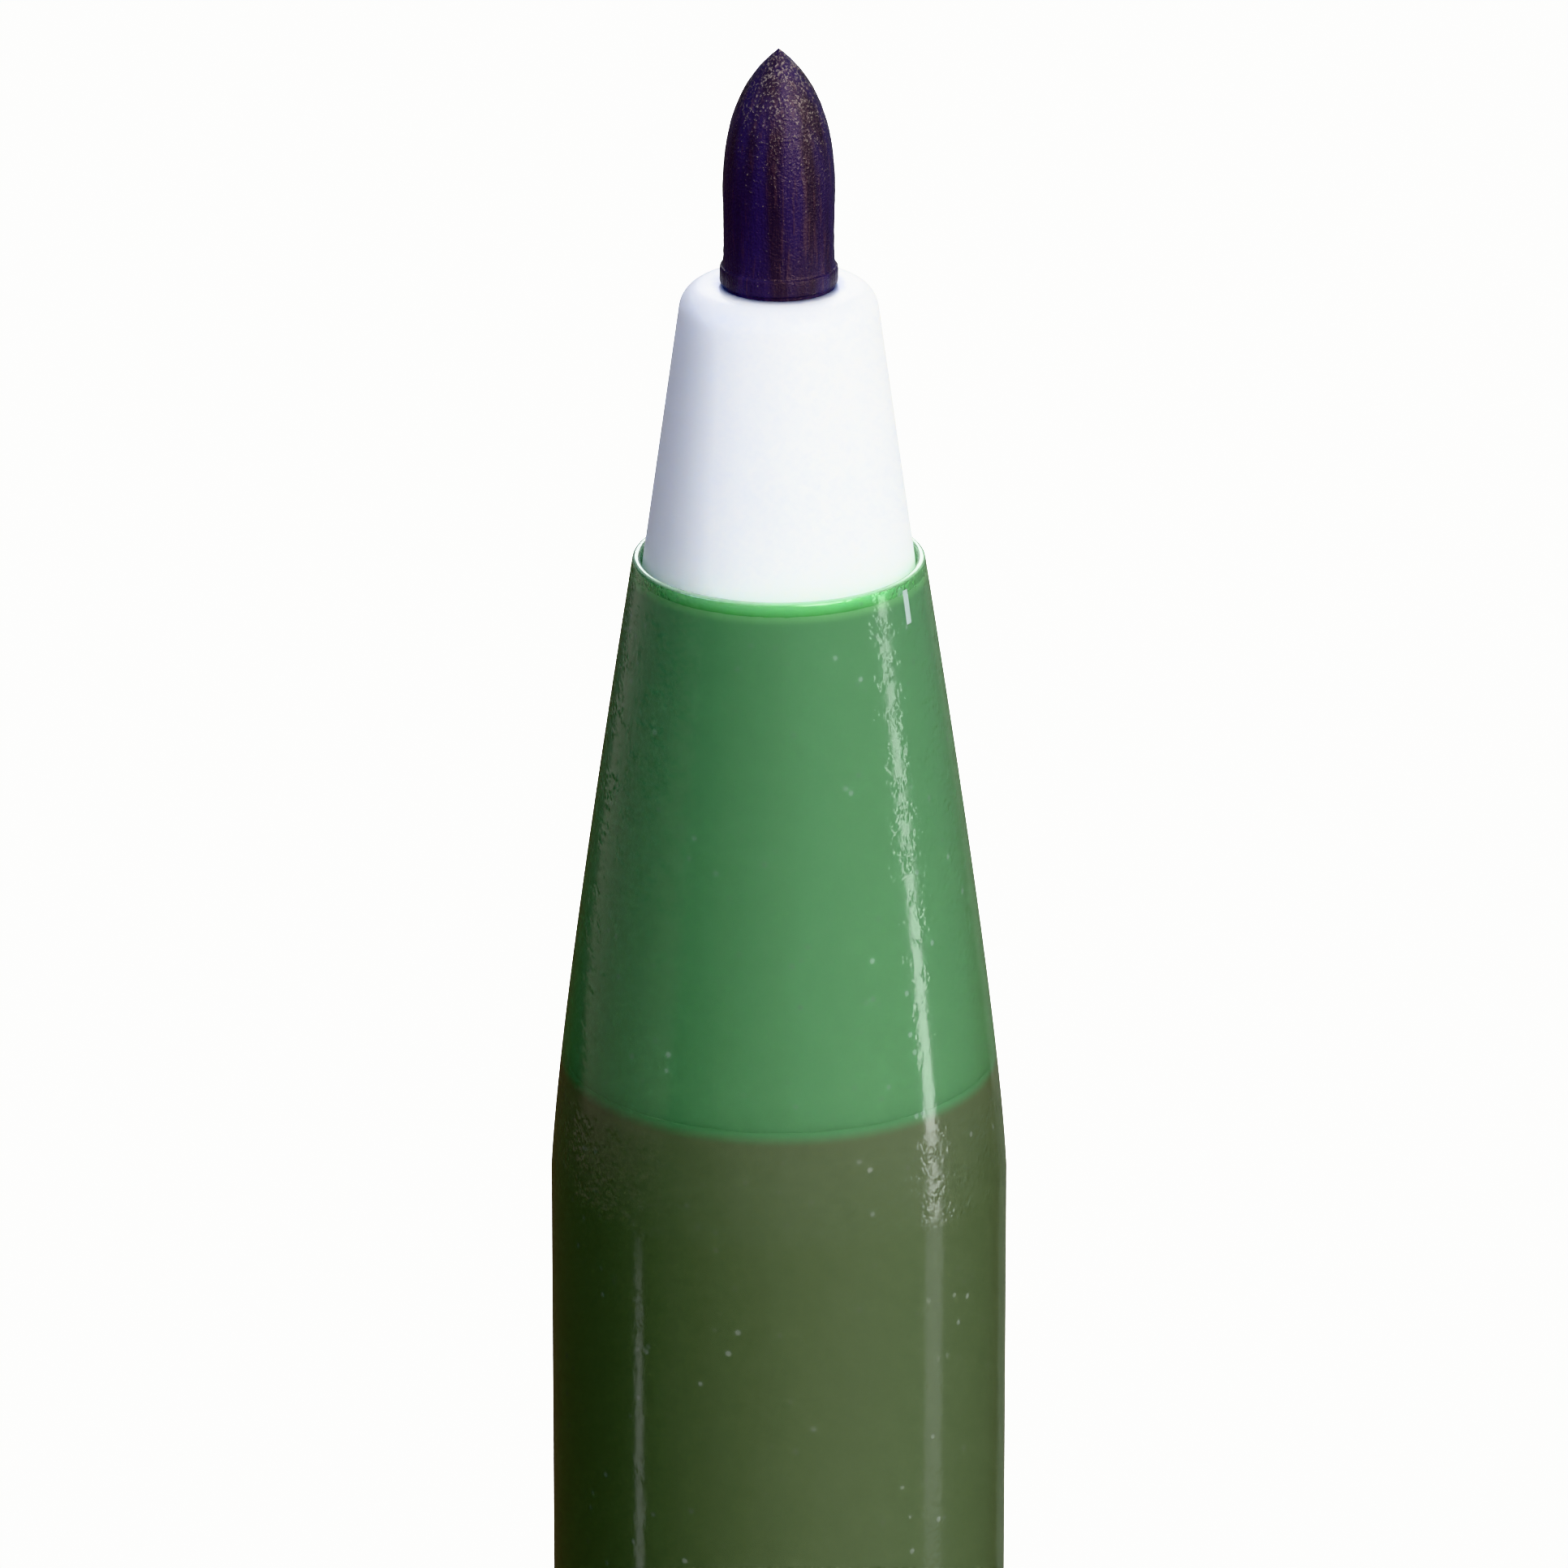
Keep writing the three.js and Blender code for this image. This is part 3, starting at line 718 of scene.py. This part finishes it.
def makeHolder(values):
    back, face, backRadius = holderLow.z, holderHigh.z, holderHigh.x
    lipRadius = mouthBore - pushFit
    slope = (lipRadius - values["faceRadius"]) / (face - lipHeight)
    seatSlope = (backRadius - lipRadius) / (lipHeight - back)
    sideAngle = math.degrees(math.atan(slope))
    size = values["frontRound"]
    roundRadius = values["faceRadius"] + slope * size - size
    bore, ease = nibValues["radius"] + values["boreFit"], values["boreEase"]
    tubeRadius = bore + values["tubeWall"]
    tubeEnd, skirtTop = back + values["tubeSetback"], back + values["skirtDepth"]
    skirtBore = backRadius - values["skirtWall"]
    outline = [(skirtBore, back)]
    outline += [(backRadius, back), (lipRadius, lipHeight)]
    outline += arcPoints(roundRadius, face - size, size, sideAngle, 90, 16)
    outline += arcPoints(bore + ease, face - ease, ease, 90, 180, 4)
    outline += [(bore, tubeEnd), (tubeRadius, tubeEnd), (tubeRadius, skirtTop)]
    outline += [(skirtBore - seatSlope * values["skirtDepth"], skirtTop), (skirtBore, back)]
    holder = turnPiece("nibHolder", outline)
    half = values["webThickness"] / 2
    low, high = (tubeRadius - ease, -half, tubeEnd), (skirtBore + 4 * ease, half, skirtTop + ease)
    webs = [toolBox(low, high, turn) for turn in turnsOf(values["webCount"], math.pi / 4)]
    work(holder, webs, "UNION")
    finish(holder, "pen", "nib_holder", holderWhite, "nib_holder")
    return holder


makeHolder(holderValues)
print("nib holder made")


def makeNib(values):
    radius, tip, face = values["radius"], nibHigh.z, holderHigh.z
    swell = nibHigh.x - radius
    pointBase = tip - values["pointLength"]
    beadTop = face + values["beadHeight"]
    point = [
        (radius, pointBase), (radius, tip - values["shoulder"] * values["pointLength"]),
        (values["crestRadius"] * radius, tip - values["crest"] * values["pointLength"]), (0, tip),
    ]
    waist = (radius - 2 * values["neck"], beadTop + values["neckStart"])
    neck = [(radius, beadTop), waist, (radius, pointBase)]
    outline = [(0, nibLow.z), (radius, nibLow.z + values["tailPoint"]), (radius, face + swell)]
    outline += arcPoints(radius, face + 2 * swell, swell, -60, 0, 3)
    outline += arcPoints(radius, beadTop - swell, swell, 0, 80, 4)
    outline += curvePoints(neck, 24)[1:-1]
    outline += curvePoints(point, 60)
    nib = turnPiece("fibreNib", outline, steps=120, smoothBelow=50)
    exposed = nib.vertex_groups.new(name="exposed")
    exposed.add([v.index for v in nib.data.vertices if v.co.z > (face + 4 * swell) * mm], 1.0, "REPLACE")
    noise = bpy.data.textures.new("fibre ends", "CLOUDS")
    noise.noise_scale = values["fuzzSize"] * mm
    noise.noise_depth = 2
    fuzz = nib.modifiers.new("fuzz", "DISPLACE")
    fuzz.texture = noise
    fuzz.strength = values["fuzz"] * mm
    fuzz.mid_level = values["fuzzLevel"]
    fuzz.vertex_group = exposed.name
    bpy.ops.object.modifier_apply(modifier=fuzz.name)
    nib.vertex_groups.clear()
    finish(nib, "pen", "nib", nibFibre, "nib")
    return nib


makeNib(nibValues)
print("nib made")


reservoirValues = {
    "filmWall": 0.15,
    "seamWidth": 1.2,  # the film overlaps itself along the back
    "seamHeight": 0.05,
    "seamTurn": 100,
    "seamSetback": 2,
    "endEase": 0.1,
}


def makeFilm(values):
    outer, low, high = filmHigh.x, filmLow.z, holderLow.z
    inner, ease = outer - values["filmWall"], values["endEase"]
    outline = [(inner, low), (outer - ease, low), (outer, low + ease)]
    outline += [(outer, high), (inner, high), (inner, low)]
    film = turnPiece("reservoirFilm", outline)
    start = (outer - values["filmWall"] / 2, -values["seamWidth"] / 2, low + ease)
    end = (outer + values["seamHeight"], values["seamWidth"] / 2, high - values["seamSetback"])
    work(film, [toolBox(start, end, math.radians(values["seamTurn"]))], "UNION")
    finish(film, "pen", "reservoir_film", inkFilm, "reservoir_film")
    return film


makeFilm(reservoirValues)
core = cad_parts["reservoir_core"]
core.data.materials.clear()
core.data.materials.append(towFibre)
print("reservoir made")


plugValues = {
    "flange": 1.0,
    "flangeRound": 0.3,
    "spigotWall": 0.9,
    "ease": 0.15,
    "notchCount": 4,
    "notchWidth": 1.2,
    "notchDepth": 1.5,
    "gateRadius": 0.8,  # shallow dish where the plastic entered the mould
    "gateDepth": 0.2,
}


def makePlug(values):
    base, top, flangeRadius = plugLow.z, plugHigh.z, plugHigh.x
    spigot = barrelHigh.x - barrelValues["wall"] - pushFit
    bore, ease = spigot - values["spigotWall"], values["ease"]
    flangeTop = base + values["flange"]
    edge = values["flangeRound"]
    outline = [(0, base + values["gateDepth"]), (values["gateRadius"] - ease, base + values["gateDepth"])]
    outline += [(values["gateRadius"], base)]
    outline += arcPoints(flangeRadius - edge, base + edge, edge, -90, 0, 5)
    outline += arcPoints(flangeRadius - ease, flangeTop - ease, ease, 0, 90, 3)
    outline += [(spigot, flangeTop), (spigot, top - ease), (spigot - ease, top), (bore + ease, top)]
    outline += [(bore, top - ease), (bore, flangeTop), (0, flangeTop)]
    plug = turnPiece("rearPlug", outline)
    half = values["notchWidth"] / 2
    low, high = (bore / 2, -half, top - values["notchDepth"]), (barrelHigh.x, half, top + 1)
    work(plug, [toolBox(low, high, turn) for turn in turnsOf(values["notchCount"])], "DIFFERENCE")
    finish(plug, "pen", "end_plug", plainWhite, "end_plug")
    return plug


makePlug(plugValues)
print("rear plug made")


shellValues = {
    "wall": 0.95,
    "ledge": 0.75,
    "seatGap": 0.1,
    "endInset": 0.3,
    "endRound": 0.7,
    "rimRound": 0.3,
    "stemBore": 1.55,
    "ventCount": 3,
    "ventRadius": 0.7,
    "fluteCount": 24,
    "fluteLength": 9,
    "fluteSetback": 2.2,
    "fluteRunOut": 0.5,
    "fluteDepths": (0.22, 0.13),  # in the middle column of a flute, and beside it
    "slotRoom": 0.15,
}


def makeShell(values):
    outer, base, rim = shellHigh.x, shellLow.z, shellHigh.z
    bore = outer - values["wall"]
    innerBore = bore - values["ledge"]
    ledge = plugLow.z - values["seatGap"]
    floor = linerLow.z - values["seatGap"]
    endRadius = outer - values["endInset"]
    endRound, rimRound = values["endRound"], values["rimRound"]
    fluteTop = rim - values["fluteSetback"]
    fluteBase = fluteTop - values["fluteLength"]
    runOut = values["fluteRunOut"]

    def sideRadius(height):  # the outside narrows a little towards the closed end
        share = (rim - rimRound - height) / (rim - rimRound - base - endRound)
        return outer - values["endInset"] * share

    outline = [(values["stemBore"], base)]
    outline += arcPoints(endRadius - endRound, base + endRound, endRound, -90, 0, 8)
    rows = (fluteBase, fluteBase + runOut, fluteTop - runOut, fluteTop)
    outline += [(sideRadius(height), height) for height in rows]
    outline += arcPoints(outer - rimRound, rim - rimRound, rimRound, 0, 90, 5)
    outline += arcPoints(bore + rimRound, rim - rimRound, rimRound, 90, 180, 5)
    outline += [(bore, ledge), (innerBore, ledge), (innerBore, floor), (values["stemBore"], floor)]
    outline += [(values["stemBore"], base)]
    shell = turnPiece("capShell", outline)

    perFlute = turnSteps // values["fluteCount"]
    bpy.ops.object.mode_set(mode="EDIT")
    for depth, offsets in zip(values["fluteDepths"], ((0,), (1, perFlute - 1))):
        def inFlute(place):
            column = round(math.atan2(place.y, place.x) / (2 * math.pi) * turnSteps)
            onSide = math.hypot(place.x, place.y) > bore + rimRound
            tall = fluteBase + runOut / 2 < place.z < fluteTop - runOut / 2
            return onSide and tall and (column - perFlute // 2) % perFlute in offsets
        selectWhere(shell, inFlute)
        shrink = 1 - depth / outer
        bpy.ops.transform.resize(value=(shrink, shrink, 1), center_override=(0, 0, 0))
    bpy.ops.object.mode_set(mode="OBJECT")

    ventCircle = innerBore - pushFit - values["ventRadius"]
    drills = [
        toolDrill(values["ventRadius"], base - 1, floor + 1, ventCircle, turn)
        for turn in turnsOf(values["ventCount"], math.pi)
    ]
    work(shell, drills, "DIFFERENCE")
    room = values["slotRoom"]
    low = (clipLow.x - room, clipLow.y - room, base - room)
    high = (outer + 1, clipHigh.y + room, base + clipValues["footThickness"] + 2 * room)
    work(shell, [toolBox(low, high)], "DIFFERENCE")
    finish(shell, "cap", "cap_shell", capGreen, "cap_shell")
    return shell


clipValues = {
    "thickness": 1.1,
    "footThickness": 0.8,
    "gap": 1.0,
    "beadRadius": 0.8,
    "beadSetback": 2.2,
    "edge": 0.3,
    "edgeSegments": 4,
    "edgeAngle": 60,  # only corners sharper than this are rounded
    "smoothBelow": 35,
}


def makeClip(values):
    base, top, outside = clipLow.z, clipHigh.z, clipHigh.x
    thick, foot, bead = values["thickness"], values["footThickness"], values["beadRadius"]
    inside = outside - thick
    half = thick / 2
    beadHeight = top - values["beadSetback"]
    beadCentre = inside + pushFit - values["gap"] + bead
    outline = [(clipLow.x, base)]
    outline += arcPoints(inside, base + thick, thick, -90, 0, 10)
    outline += arcPoints(inside + half, top - half, half, 0, 180, 12)
    outline += arcPoints(beadCentre, beadHeight, bead, 80, 280, 16)
    outline += arcPoints(inside - foot / 2, base + foot * 1.5, foot / 2, 0, -90, 5)
    outline += [(clipLow.x, base + foot)]
    clip = drawOutline("capClip", outline + outline[:1], clipLow.y)
    bpy.ops.mesh.select_all(action="SELECT")
    bpy.ops.mesh.remove_doubles(threshold=weld)
    bpy.ops.mesh.select_all(action="SELECT")
    bpy.ops.mesh.edge_face_add()
    width = (clipHigh.y - clipLow.y) * mm
    bpy.ops.mesh.extrude_region_move(TRANSFORM_OT_translate={"value": (0, width, 0)})
    closeUp()
    bevel = clip.modifiers.new("edges", "BEVEL")
    bevel.width = values["edge"] * mm
    bevel.segments = values["edgeSegments"]
    bevel.limit_method = "ANGLE"
    bevel.angle_limit = math.radians(values["edgeAngle"])
    bpy.ops.object.modifier_apply(modifier=bevel.name)
    bpy.ops.object.shade_smooth_by_angle(angle=math.radians(values["smoothBelow"]))
    finish(clip, "clip", "cap_clip", capGreen, "cap_clip")
    return clip


makeShell(shellValues)
makeClip(clipValues)
print("cap shell and clip made")


linerValues = {
    "wall": 0.8,
    "floor": 0.9,
    "lipLength": 0.8,
    "lipInset": 0.2,
    "flareLength": 2.0,
    "sealRadius": 2.52,
    "grooveDepth": 0.5,
    "grooveHalfWidth": 0.7,
    "floorRound": 0.4,
    "flareEase": 0.5,
    "ease": 0.1,
}


def makeLiner(values):
    outer, base, top = linerHigh.x, linerLow.z, linerHigh.z
    ease, seal = values["ease"], values["sealRadius"]
    lipTop = top - values["flareLength"]
    below = seal + values["lipInset"]
    floor, corner = base + values["floor"], values["floorRound"]
    outline = [(0, base), (outer - ease, base), (outer, base + ease), (outer, top - ease)]
    outline += [(outer - ease, top), (outer - values["wall"], top)]
    flare = [(outer - values["wall"], top), (seal, lipTop + values["flareEase"]), (seal, lipTop)]
    outline += curvePoints(flare, 8)[1:]
    outline += [(below, lipTop - values["lipLength"]), (below, floor + corner)]
    outline += arcPoints(below - corner, floor + corner, corner, 0, -90, 5)[1:]
    outline += [(0, floor)]
    liner = turnPiece("capLiner", outline)
    half = values["grooveHalfWidth"]
    low, high = (outer - values["grooveDepth"], -half, base - 1), (outer + 1, half, top + 1)
    work(liner, [toolBox(low, high, turn) for turn in turnsOf(3, math.pi)], "DIFFERENCE")
    finish(liner, "cap", "cap_liner", plainWhite, "cap_liner")
    return liner


makeLiner(linerValues)
print("inner cap made")


crownValues = {
    "round": 0.35,
    "ease": 0.15,
    "stemRadius": 1.5,
    "headHeight": 1.5,
    "notchRadius": 1.0,
    "notchCount": 3,
    "ringRadii": (2.6, 3.0),  # a fine turned groove in the flat face
    "ringDepth": 0.12,
    "ringSlope": 0.08,
}


def makeCrown(values):
    edge, outer = values["round"], crownHigh.y
    head, stem, stemTop = values["headHeight"], values["stemRadius"], crownHigh.z
    ringIn, ringOut = values["ringRadii"]
    slope, ease = values["ringSlope"], values["ease"]
    outline = [(0, 0), (ringIn, 0), (ringIn + slope, values["ringDepth"])]
    outline += [(ringOut - slope, values["ringDepth"]), (ringOut, 0)]
    outline += arcPoints(outer - edge, edge, edge, -90, 0, 6)
    outline += arcPoints(outer - ease, head - ease, ease, 0, 90, 3)
    outline += [(stem, head), (stem, stemTop - ease), (stem - ease, stemTop), (0, stemTop)]
    crown = turnPiece("capCrown", outline)
    drills = [
        toolDrill(values["notchRadius"], -1, head + 2 * ease, outer, turn)
        for turn in turnsOf(values["notchCount"], math.pi)
    ]
    work(crown, drills, "DIFFERENCE")
    finish(crown, "cap", "cap_crown", crownViolet, "cap_crown")
    return crown


makeCrown(crownValues)
print("crown made")


stageValues = {
    "floorSize": 6.0,
    "floorColour": "#f7f7f5",
    "toothColour": "#fbfbfa",
    "toothScale": 0.02,  # per millimetre
    "floorRoughness": 0.8,
    "floorSheen": 0.2,
    "floorGlow": 3.0,
    "backdrop": 3.0,
    "high": (0.32, "#eceef6"),  # brightness and tint of the room above
    "low": (0.1, "#ffdcc0"),  # and below
    "blend": (-0.34, -0.2),  # upward parts of the directions between which one turns to the other
    "sides": (0.5, 1.15),  # share of that brightness on the left and on the right
}


def makeStage(values):
    bpy.ops.object.select_all(action="DESELECT")
    bpy.ops.mesh.primitive_plane_add(size=values["floorSize"])
    floor = bpy.context.object
    floor.name = "floor"
    material, tree = newMaterial("pale matt paper, studio floor")
    place = inMillimetres(tree)
    tooth = addNode(tree, "ShaderNodeTexNoise", {
        "Vector": place, "Scale": values["toothScale"], "Detail": 4.0,
    })
    colour = addNode(tree, "ShaderNodeMix", {
        0: tooth.outputs["Fac"], 6: hexColour(values["floorColour"]), 7: hexColour(values["toothColour"]),
    }, data_type="RGBA")
    paper = addNode(tree, "ShaderNodeBsdfPrincipled", {
        "Base Color": colour.outputs[2], "Roughness": values["floorRoughness"],
        "Specular IOR Level": values["floorSheen"],
        "Emission Color": hexColour(values["floorColour"]), "Emission Strength": values["floorGlow"],
    })
    addNode(tree, "ShaderNodeOutputMaterial", {"Surface": paper.outputs[0]})
    floor.data.materials.append(material)
    floor.visible_glossy = floor.visible_diffuse = floor.visible_transmission = False

    world = bpy.data.worlds.new("studio")
    bpy.context.scene.world = world
    world.use_nodes = True
    tree = world.node_tree
    tree.nodes.clear()
    way = addNode(tree, "ShaderNodeTexCoord", {})
    parts = addNode(tree, "ShaderNodeSeparateXYZ", {"Vector": way.outputs["Generated"]})
    blendLow, blendHigh = values["blend"]
    above = addNode(tree, "ShaderNodeMapRange", {
        "Value": parts.outputs["Z"], "From Min": blendLow, "From Max": blendHigh,
    }, interpolation_type="SMOOTHSTEP")
    left, right = values["sides"]
    side = addNode(tree, "ShaderNodeMapRange", {
        "Value": parts.outputs["X"], "From Min": -1.0, "To Min": left, "To Max": right,
    })
    (lowLevel, lowTint), (highLevel, highTint) = values["low"], values["high"]
    tint = addNode(tree, "ShaderNodeMix", {
        0: above.outputs[0], 6: hexColour(lowTint), 7: hexColour(highTint),
    }, data_type="RGBA")
    level = addNode(tree, "ShaderNodeMapRange", {
        "Value": above.outputs[0], "To Min": lowLevel, "To Max": highLevel,
    })
    strength = addNode(tree, "ShaderNodeMath", {
        0: level.outputs[0], 1: side.outputs[0],
    }, operation="MULTIPLY")
    around = addNode(tree, "ShaderNodeBackground", {
        "Color": tint.outputs[2], "Strength": strength.outputs[0],
    })
    seen = addNode(tree, "ShaderNodeBackground", {"Color": (1, 1, 1, 1), "Strength": values["backdrop"]})
    light = addNode(tree, "ShaderNodeLightPath", {})
    mix = addNode(tree, "ShaderNodeMixShader", {
        0: light.outputs["Is Camera Ray"], 1: around.outputs[0], 2: seen.outputs[0],
    })
    addNode(tree, "ShaderNodeOutputWorld", {"Surface": mix.outputs[0]})


# each light: azimuth from the front towards +X, distance from the pen's axis, heights of its lower and upper
# edges, width and radiance, with a tint unless it is white; the softboxes lean to face the barrel's mouth
lightValues = {
    "right strip": {
        "azimuth": 84, "distance": 300, "low": 42, "high": 330, "width": 36, "radiance": 7.0,
    },
    "right strip, low end": {
        "azimuth": 84, "distance": 300, "low": 2, "high": 38, "width": 60, "radiance": 1.0,
    },
    "left fill": {
        "azimuth": -72, "distance": 45, "low": 172, "high": 212, "width": 30, "radiance": 4.3,
        "tint": "#c2d2ff",
    },
    "left glint": {
        "azimuth": -74, "distance": 150, "low": 45, "high": 80, "width": 12, "radiance": 1.6,
    },
    "right back strip": {
        "azimuth": 160, "distance": 300, "low": -80, "high": 90, "width": 140, "radiance": 0.2,
        "tint": "#c6e6cc",
    },
    "left card": {
        "azimuth": -108, "distance": 600, "low": -40, "high": 80, "width": 1400, "radiance": 0.42,
        "tint": "#ffe6da",
    },
    "back softbox": {
        "azimuth": 178, "distance": 600, "low": 300, "high": 700, "width": 400, "radiance": 9.0,
        "leans": True,
    },
    "front softbox": {
        "azimuth": -25, "distance": 600, "low": 350, "high": 650, "width": 300, "radiance": 1.7,
        "leans": True,
    },
    "key softbox": {
        "azimuth": 37, "distance": 600, "low": 300, "high": 700, "width": 400, "radiance": 16.2,
        "leans": True,
    },
}


def makeLights(values, mouth):
    for name, light in values.items():
        turn = math.radians(light["azimuth"])
        middle = (light["low"] + light["high"]) / 2
        place = Vector((light["distance"] * math.sin(turn), -light["distance"] * math.cos(turn), middle))
        aim = Vector((0, 0, mouth if light.get("leans") else middle))
        data = bpy.data.lights.new(name, "AREA")
        data.shape = "RECTANGLE"
        data.size, data.size_y = light["width"] * mm, (light["high"] - light["low"]) * mm
        data.color = hexColour(light.get("tint", "#ffffff"))[:3]
        data.energy = light["radiance"] * math.pi * data.size * data.size_y
        lamp = bpy.data.objects.new(name, data)
        bpy.context.scene.collection.objects.link(lamp)
        lamp.location = place * mm
        lamp.rotation_euler = (place - aim).to_track_quat("Z", "Y").to_euler()
        lamp.visible_camera = False


makeStage(stageValues)
makeLights(lightValues, mouthHeight)
print("stage lit")


cameraValues = {
    "belowMouth": 5.28,  # what it looks at, on the pen's axis
    "aside": 0.11,
    "elevation": 20.5,
    "distance": 280,
    "sensor": 36,
    "lens": 296,
    "clipping": (0.01, 20),  # metres
}


def makeCamera(values):
    target = Vector((values["aside"], 0, mouthHeight - values["belowMouth"]))
    rise = math.radians(values["elevation"])
    back = Vector((0, -math.cos(rise), math.sin(rise)))
    data = bpy.data.cameras.new("camera")
    data.sensor_width = values["sensor"]
    data.lens = values["lens"]
    data.clip_start, data.clip_end = values["clipping"]
    camera = bpy.data.objects.new("camera", data)
    bpy.context.scene.collection.objects.link(camera)
    camera.location = (target + values["distance"] * back) * mm
    camera.rotation_euler = back.to_track_quat("Z", "Y").to_euler()
    bpy.context.scene.camera = camera


makeCamera(cameraValues)
bpy.context.scene.view_settings.view_transform = "Khronos PBR Neutral"
print("camera set")
